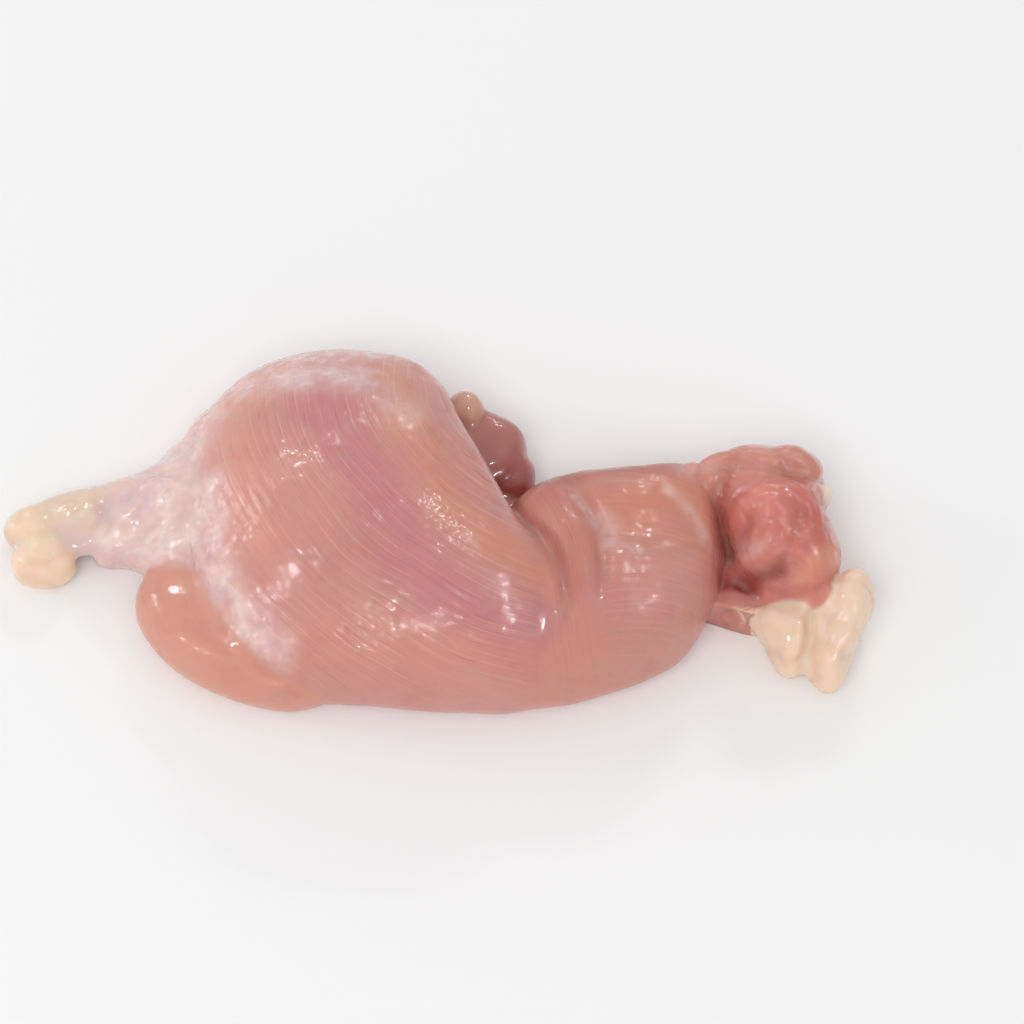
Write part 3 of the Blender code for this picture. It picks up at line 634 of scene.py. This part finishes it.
def stroke(x, y, line, wide):
    """1 on a bent line, falling softly to 0 past its half width."""
    gap = from_line(x, y, curved(line))[0]
    return np.exp(-(gap / wide) ** 2.5)


def linear(tint):
    """An sRGB tint from 0 to 255 as linear colour."""
    value = np.array(tint, float) / 255
    return np.where(value <= 0.04045, value / 12.92, ((value + 0.055) / 1.055) ** 2.4)


def arcs(x, y, centre, reach):
    """Distance from a centre, and the way round it, which is in mm at the given reach."""
    dx, dy = x - centre[0], y - centre[1]
    return np.hypot(dx, dy), np.arctan2(dy, dx) * reach


def arm_run(x, y, z):
    """Across and along the fibres of the arm: front to back in its inner bundle, else lengthwise."""
    inner = x < INNER_X
    crossing = x * INNER_DENSITY + INNER_SLANT * y
    bowed = y + ARM_BOW * (x - ARM_MIDDLE) ** 2 + LEAN * z
    return np.where(inner, crossing, bowed), np.where(inner, y, x)


def grain_of(points, share):
    """Where each point lies across and along its fibres, in mm, with each lobe's own run."""
    x, y, z = points.T
    away, round_it = arcs(x, y, ARC_CENTRE, ARC_REACH)
    runs = {name: (away - LEAN * z, round_it) for name in share}
    away, round_it = arcs(x, y, UNDER_CENTRE, UNDER_REACH)
    runs["under"] = away * UNDER_DENSITY, round_it
    ahead, aside = TORN_RUN
    for name in TORN:
        runs[name] = ahead * y - aside * x + LEAN * z, ahead * x + aside * y
    runs["arm"] = arm_run(x, y, z)
    names = list(share)
    owner = np.argmax(np.array([share[name] for name in names]), axis=0)
    across = np.choose(owner, [runs[name][0] for name in names])
    along = np.choose(owner, [runs[name][1] for name in names])
    return across, along


def fibre_of(points, share):
    """How clearly the fibres show at each point: less at borders and low down, and not where they turn."""
    x, y, z = points.T
    own = np.max(np.array(list(share.values())), axis=0)
    fibre = sum(share[name] * strength for name, strength in FIBRES.items())
    fibre *= np.clip(own * 2 - 1, 0, 1) * np.clip((z - CLEAR_FROM) / CLEAR_OVER, LOW_CLARITY, 1)
    fibre *= 1 - share["arm"] * np.exp(-((x - INNER_X) / INNER_BORDER) ** 2)
    away = arcs(x, y, ARC_CENTRE, ARC_REACH)[0]
    fibre *= 1 - share["fan"] * (1 - np.clip((away - HUB) / HUB_FADE, 0, 1))
    return fibre * (0.75 + 0.5 * ripples(points, 9, 16))


def film_of(points, share):
    """How much membrane lies over each point. Its borders are ragged."""
    x, y = points[:, :2].T
    jag = ripples(points, 3, 5) * 0.3 + ripples(points, 1.2, 13) * 0.2
    film = share["funnel"] * 0.6
    y = y + jag * 2
    for line, wide, strength in VEILS:
        film = np.maximum(film, strength * np.clip(stroke(x, y, line, wide) * (0.85 + 1.4 * jag), 0, 1))
    film = np.maximum(film, share["strap"] * np.clip((x + 66) / 8, 0.2, 0.7))
    return film * (1 - share["under"])


def folds_of(points):
    """Rounded folds of torn meat or fat, from about 0 in the creases to 1 on the ridges."""
    return np.clip(billows(points, 9, 11) * 2 + billows(points, 3.4, 12) * 0.3 - 0.1, 0, 1)


def tint_of(points, share, fat, torn, folds):
    """The colour of the flesh at each point, in linear light, with painted shade along some grooves and in
    the creases of torn meat.
    """
    x, y = points[:, :2].T
    shift = ripples(points, 5, 14) * 1.5
    tint = sum(share[name][:, None] * linear(TINTS[name]) for name in share)
    for line, wide, colour, strength in STROKES:
        amount = stroke(x + shift, y + shift, line, wide) * strength * (1 - fat)
        tint += (linear(colour) - tint) * amount[:, None]
    # The creases between torn folds turn blood red: partly the torn meat's own red, partly painted shade.
    crease_shade = np.clip(0.35 - folds, 0, 1)[:, None]
    tint += (linear(BLOOD_AND_SHADE) - tint) * crease_shade * torn[:, None]
    return tint


def phase_of(points, across):
    """The number of the bundle of fibres that each point lies in. The bundles wind and vary in width."""
    phase = across / BUNDLE + ripples(points, 13, 3) * 0.5 + ripples(points, 4, 4) * 0.07
    uneven = np.column_stack([phase * 0.9, across * 0, across * 0])
    return phase + ripples(uneven, 1, 15) * 0.35


def named(obj, name, kind, data):
    """Stores values on the points of a mesh, for its material."""
    layer = obj.data.attributes.new(name, kind, "POINT")
    field = {"FLOAT": "value", "FLOAT_VECTOR": "vector", "FLOAT_COLOR": "color"}[kind]
    layer.data.foreach_set(field, np.asarray(data, np.float32).ravel())


def relieve(obj, points, phase, fibre, film, fat, torn, folds):
    """Relief along the normals: grooves between bundles, wrinkled film, lumps of fat and torn folds."""
    normals = np.empty(len(points) * 3)
    obj.data.vertices.foreach_get("normal", normals)
    normals = normals.reshape(-1, 3)
    groove = (0.5 + 0.5 * np.cos(phase * 2 * math.pi)) ** 3
    rise = -BUNDLE_DEPTH * groove * fibre * (1 - film)
    rise += GRAIN_HEIGHT * ripples(points, 2.6, 6) + SPECK_HEIGHT * ripples(points, 1.2, 7)
    crinkle = 1 - 3 * billows(points, 2.6, 8)
    rise += film * (FILM_HEIGHT + CRINKLE_HEIGHT * crinkle)
    rise += fat * (folds * FAT_FOLD - FAT_FOLD / 2) + torn * (folds * TORN_FOLD - TORN_FOLD / 2)
    rise *= np.clip(points[:, 2] / RELIEF_FADE, 0, 1)
    put_points(obj, points + normals * rise[:, None])


def skin():
    """The fine skin of the thigh, with its relief, and what its material needs to know of each point."""
    parts = [lobe(name) for name in LOBES] + [strap()]
    obj = eased(fused(parts, "thigh_flesh"))
    share = shares(points_of(obj))
    obj = carved(obj)
    points = points_of(obj)
    fat = sum(share[name] for name in FAT)
    torn = sum(share[name] for name in TORN)
    fibre = fibre_of(points, share)
    film = film_of(points, share) * (1 - fat)
    across, along = grain_of(points, share)
    phase = phase_of(points, across)
    folds = folds_of(points)
    relieve(obj, points, phase, fibre, film, fat, torn, folds)
    tint = tint_of(points, share, fat, torn, folds)
    # Painted shade in the creases between the folds of fat, stored for the material.
    fat_crease_shade = fat * np.clip(0.3 - folds, 0, 1) * 2
    named(obj, "tint", "FLOAT_COLOR", np.column_stack([tint, np.ones(len(tint))]))
    named(obj, "grain", "FLOAT_VECTOR", np.column_stack([phase, along / 10, across / 10]))
    amounts = {"fibre": fibre, "film": film, "fat": fat, "fat_crease_shade": fat_crease_shade, "torn": torn}
    for name, amount in amounts.items():
        named(obj, name, "FLOAT", amount)
    return obj


class Nodes:
    """Short names for adding and linking the nodes of one material."""

    def __init__(self, material):
        material.use_nodes = True
        self.tree = material.node_tree
        self.shader = self.tree.nodes["Principled BSDF"]

    def add(self, kind, links=None, **settings):
        """A new node with these settings, and its inputs linked or set."""
        node = self.tree.nodes.new(kind)
        for key, value in settings.items():
            setattr(node, key, value)
        for key, value in (links or {}).items():
            self.put(node.inputs[key], value)
        return node

    def put(self, socket, value):
        """Links an output to a socket, or sets the socket to a plain value."""
        if isinstance(value, bpy.types.NodeSocket):
            self.tree.links.new(value, socket)
        else:
            socket.default_value = value

    def attribute(self, name, output="Fac"):
        """What the points of the mesh store under a name."""
        return self.add("ShaderNodeAttribute", attribute_name=name).outputs[output]

    def math(self, operation, a, b=0.0):
        """The result of an operation on one or two numbers."""
        return self.add("ShaderNodeMath", {0: a, 1: b}, operation=operation).outputs[0]

    def product(self, a, b):
        """One number times another."""
        return self.math("MULTIPLY", a, b)

    def scaled(self, vector, factors):
        """A vector with its three parts multiplied by factors."""
        node = self.add("ShaderNodeVectorMath", {0: vector, 1: factors}, operation="MULTIPLY")
        return node.outputs[0]

    def noise(self, vector, scale, detail=2.0, rough=0.5):
        """Noise from 0 to 1."""
        links = {"Vector": vector, "Scale": scale, "Detail": detail, "Roughness": rough}
        return self.add("ShaderNodeTexNoise", links).outputs["Fac"]

    def spread(self, value, low, high, to_low=0.0, to_high=1.0):
        """A value moved smoothly from one span to another."""
        links = {0: value, 1: low, 2: high, 3: to_low, 4: to_high}
        node = self.add("ShaderNodeMapRange", links, interpolation_type="SMOOTHSTEP")
        return node.outputs[0]

    def bump(self, height, distance, strength, under=None):
        """Bumps of this height, over the bumps of another such node if one is given."""
        links = {"Strength": strength, "Distance": distance, "Height": height}
        if under is not None:
            links["Normal"] = under
        return self.add("ShaderNodeBump", links).outputs[0]

    def mixed(self, amount, a, b):
        """Colour a with this share of colour b."""
        node = self.add("ShaderNodeMix", data_type="RGBA")
        self.put(node.inputs[0], amount)
        self.put(node.inputs[6], a)
        self.put(node.inputs[7], b)
        return node.outputs[2]


def solid_colour(tint):
    """An sRGB tint from 0 to 255 as a linear colour for a node."""
    return (*linear(tint), 1.0)


def pale_line(n, grain, fibre):
    """Thin lines between the bundles of fibres, broken here and there."""
    phase = n.add("ShaderNodeSeparateXYZ", {0: grain}).outputs[0]
    off = n.math("ABSOLUTE", n.math("SUBTRACT", phase, n.math("ROUND", phase)))
    patchy = n.noise(n.scaled(grain, (1.0, 1.3, 0.4)), 1.0, 2.0)
    line = n.product(n.spread(off, 0.085, 0.015), n.spread(patchy, 0.4, 0.62))
    return n.product(line, fibre)


def meat_colour(n, grain, fibre, line, streaks, mottle):
    """Bare meat: the tint of its place, with blushes, bruises, veins and the pale lines."""
    blush = n.product(n.spread(streaks, 0.3, 0.7, 0.0, 0.3), n.math("ADD", fibre, 0.15))
    colour = n.mixed(blush, n.attribute("tint", "Color"), solid_colour(BLUSH))
    colour = n.mixed(n.spread(mottle, 0.48, 0.75, 0.0, 0.28), colour, solid_colour(BRUISE))
    vein = n.spread(n.noise(n.scaled(grain, (7.0, 1.4, 0.7)), 1.0, 1.0), 0.66, 0.76, 0.0, 0.4)
    colour = n.mixed(n.product(vein, fibre), colour, solid_colour(BLOOD_AND_SHADE))
    return n.mixed(n.product(line, 0.5), colour, solid_colour(PALE_LINE))


def with_film(n, colour, film, place, mottle):
    """The colour with cloudy membrane over it."""
    veil = n.mixed(n.spread(mottle, 0.4, 0.62), solid_colour(LAVENDER), solid_colour(IVORY))
    cloud = n.noise(place, 420.0, 3.0, 0.6)
    return n.mixed(n.product(film, n.spread(cloud, 0.3, 0.7, 0.65, 1.0)), colour, veil)


def with_fat(n, colour, fat, mottle):
    """The colour with cream fat in its place, and painted shade in its creases."""
    creamy = n.mixed(n.spread(mottle, 0.4, 0.75), solid_colour(CREAM), solid_colour(BUTTER))
    # Painted shade in the creases of the fat.
    creamy = n.mixed(n.attribute("fat_crease_shade"), creamy, solid_colour(FAT_CREASE_SHADE))
    return n.mixed(fat, colour, creamy)


def fibre_bump(n, grain, fibre, line, streaks, specks):
    """The finest relief of the meat: streaks, sunken lines, strands and specks."""
    strands = n.noise(n.scaled(grain, (16.0, 2.4, 2.0)), 1.0, 2.0)
    height = n.product(n.math("SUBTRACT", streaks, n.product(line, 0.3)), fibre)
    height = n.math("ADD", height, n.product(strands, n.product(fibre, 0.35)))
    height = n.math("ADD", height, n.product(specks, 0.35))
    return n.bump(height, 0.12 * MM, 0.5)


def wet_bump(n, place, film, fat, torn, specks, under):
    """Ripples of the juice that coats the meat, highest on film and on torn meat."""
    wet = n.math("ADD", film, n.product(torn, 0.7))
    wet = n.math("ADD", wet, n.math("ADD", n.product(fat, 0.4), 0.25))
    droplets = n.noise(place, 480.0, 1.0)
    beads = n.product(n.math("ADD", droplets, n.product(specks, 0.25)), wet)
    return n.bump(beads, 0.8 * MM, 0.9, under)


def flesh():
    """Wet raw meat: tinted by region, streaked along its fibres, with film and fat laid over."""
    material = bpy.data.materials.new("wet_raw_meat")
    n = Nodes(material)
    place = n.add("ShaderNodeTexCoord").outputs["Object"]
    grain = n.attribute("grain", "Vector")
    fibre, film, fat, torn = (n.attribute(name) for name in ("fibre", "film", "fat", "torn"))
    streaks = n.noise(n.scaled(grain, (5.0, 0.9, 0.6)), 1.0, 3.0, 0.6)
    mottle = n.noise(place, 140.0, 4.0, 0.6)
    specks = n.noise(place, 900.0, 2.0)
    line = pale_line(n, grain, fibre)
    colour = meat_colour(n, grain, fibre, line, streaks, mottle)
    colour = with_film(n, colour, film, place, mottle)
    relief = fibre_bump(n, grain, fibre, line, streaks, specks)
    inputs = n.shader.inputs
    n.put(inputs["Base Color"], with_fat(n, colour, fat, mottle))
    n.put(inputs["Roughness"], n.spread(mottle, 0.3, 0.7, 0.32, 0.5))
    n.put(inputs["Normal"], relief)
    n.put(inputs["IOR"], 1.4)
    n.put(inputs["Subsurface Weight"], 0.7)
    n.put(inputs["Subsurface Radius"], (1.0, 0.42, 0.28))
    n.put(inputs["Subsurface Scale"], 2.2 * MM)
    n.put(inputs["Coat Weight"], n.spread(n.math("MAXIMUM", film, torn), 0.0, 1.0, 0.65, 1.0))
    n.put(inputs["Coat Roughness"], 0.07)
    n.put(inputs["Coat IOR"], 1.38)
    n.put(inputs["Coat Normal"], wet_bump(n, place, film, fat, torn, specks, relief))
    return material


def dressed():
    """The skin in its place in the frame, instead of the plain node."""
    obj = cut_flat(skin())
    obj.data.transform(Matrix.Translation(-Vector(MIDDLE) * MM))
    obj.data.materials.append(flesh())
    obj.data.shade_smooth()
    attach(obj, "root")
    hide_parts("chicken_thigh")
    return obj


def plain_floor():
    """The plain pale floor."""
    bpy.ops.mesh.primitive_plane_add(size=FLOOR_SIZE)
    obj = bpy.context.object
    obj.name = "floor"
    obj.location.z = -FLOOR_GAP
    material = bpy.data.materials.new("pale_floor")
    n = Nodes(material)
    n.put(n.shader.inputs["Base Color"], (0.92, 0.92, 0.92, 1))
    n.put(n.shader.inputs["Roughness"], 0.6)
    obj.data.materials.append(material)


def softbox(name, place, size, power):
    """A rectangle of light at a place, turned to the thigh."""
    light = bpy.data.lights.new(name, "AREA")
    light.shape = "RECTANGLE"
    light.size, light.size_y = size
    light.energy = power
    obj = bpy.data.objects.new(name, light)
    obj.location = place
    obj.rotation_euler = (Vector(AIM) - Vector(place)).to_track_quat("-Z", "Y").to_euler()
    bpy.context.scene.collection.objects.link(obj)
    return obj


def studio():
    """Even white light from all round, a soft key, and small lamps that only the wet skin mirrors."""
    world = bpy.data.worlds.new("studio")
    bpy.context.scene.world = world
    world.use_nodes = True
    background = world.node_tree.nodes["Background"]
    background.inputs["Color"].default_value = (1, 1, 1, 1)
    background.inputs["Strength"].default_value = 0.66
    key = softbox("key", (-0.3, -0.5, 0.85), (0.6, 0.4), 3.2)
    key.visible_glossy = False
    softbox("left", (-0.85, 0.2, 0.2), (0.12, 0.16), 1.0)
    softbox("back", (0.2, 0.75, 0.45), (0.2, 0.05), 0.8)
    for i, (place, size, power) in enumerate(LAMPS):
        lamp = softbox(f"lamp_{i}", place, size, power)
        lamp.visible_diffuse = False
    bpy.context.scene.view_settings.view_transform = "Standard"


def camera():
    """The camera of the photo, moved from the plan to the frame of the part."""
    data = bpy.data.cameras.new("camera")
    data.sensor_width = SENSOR
    data.lens = LENS
    data.clip_start = NEAREST
    obj = bpy.data.objects.new("camera", data)
    right, down, forward = (Vector(axis) for axis in CAMERA_AXES)
    turn = Matrix((right, -down, -forward)).transposed().to_4x4()
    obj.matrix_world = Matrix.Translation((Vector(CAMERA_AT) - Vector(MIDDLE)) * MM) @ turn
    bpy.context.scene.collection.objects.link(obj)
    bpy.context.scene.camera = obj


dressed()
plain_floor()
studio()
camera()
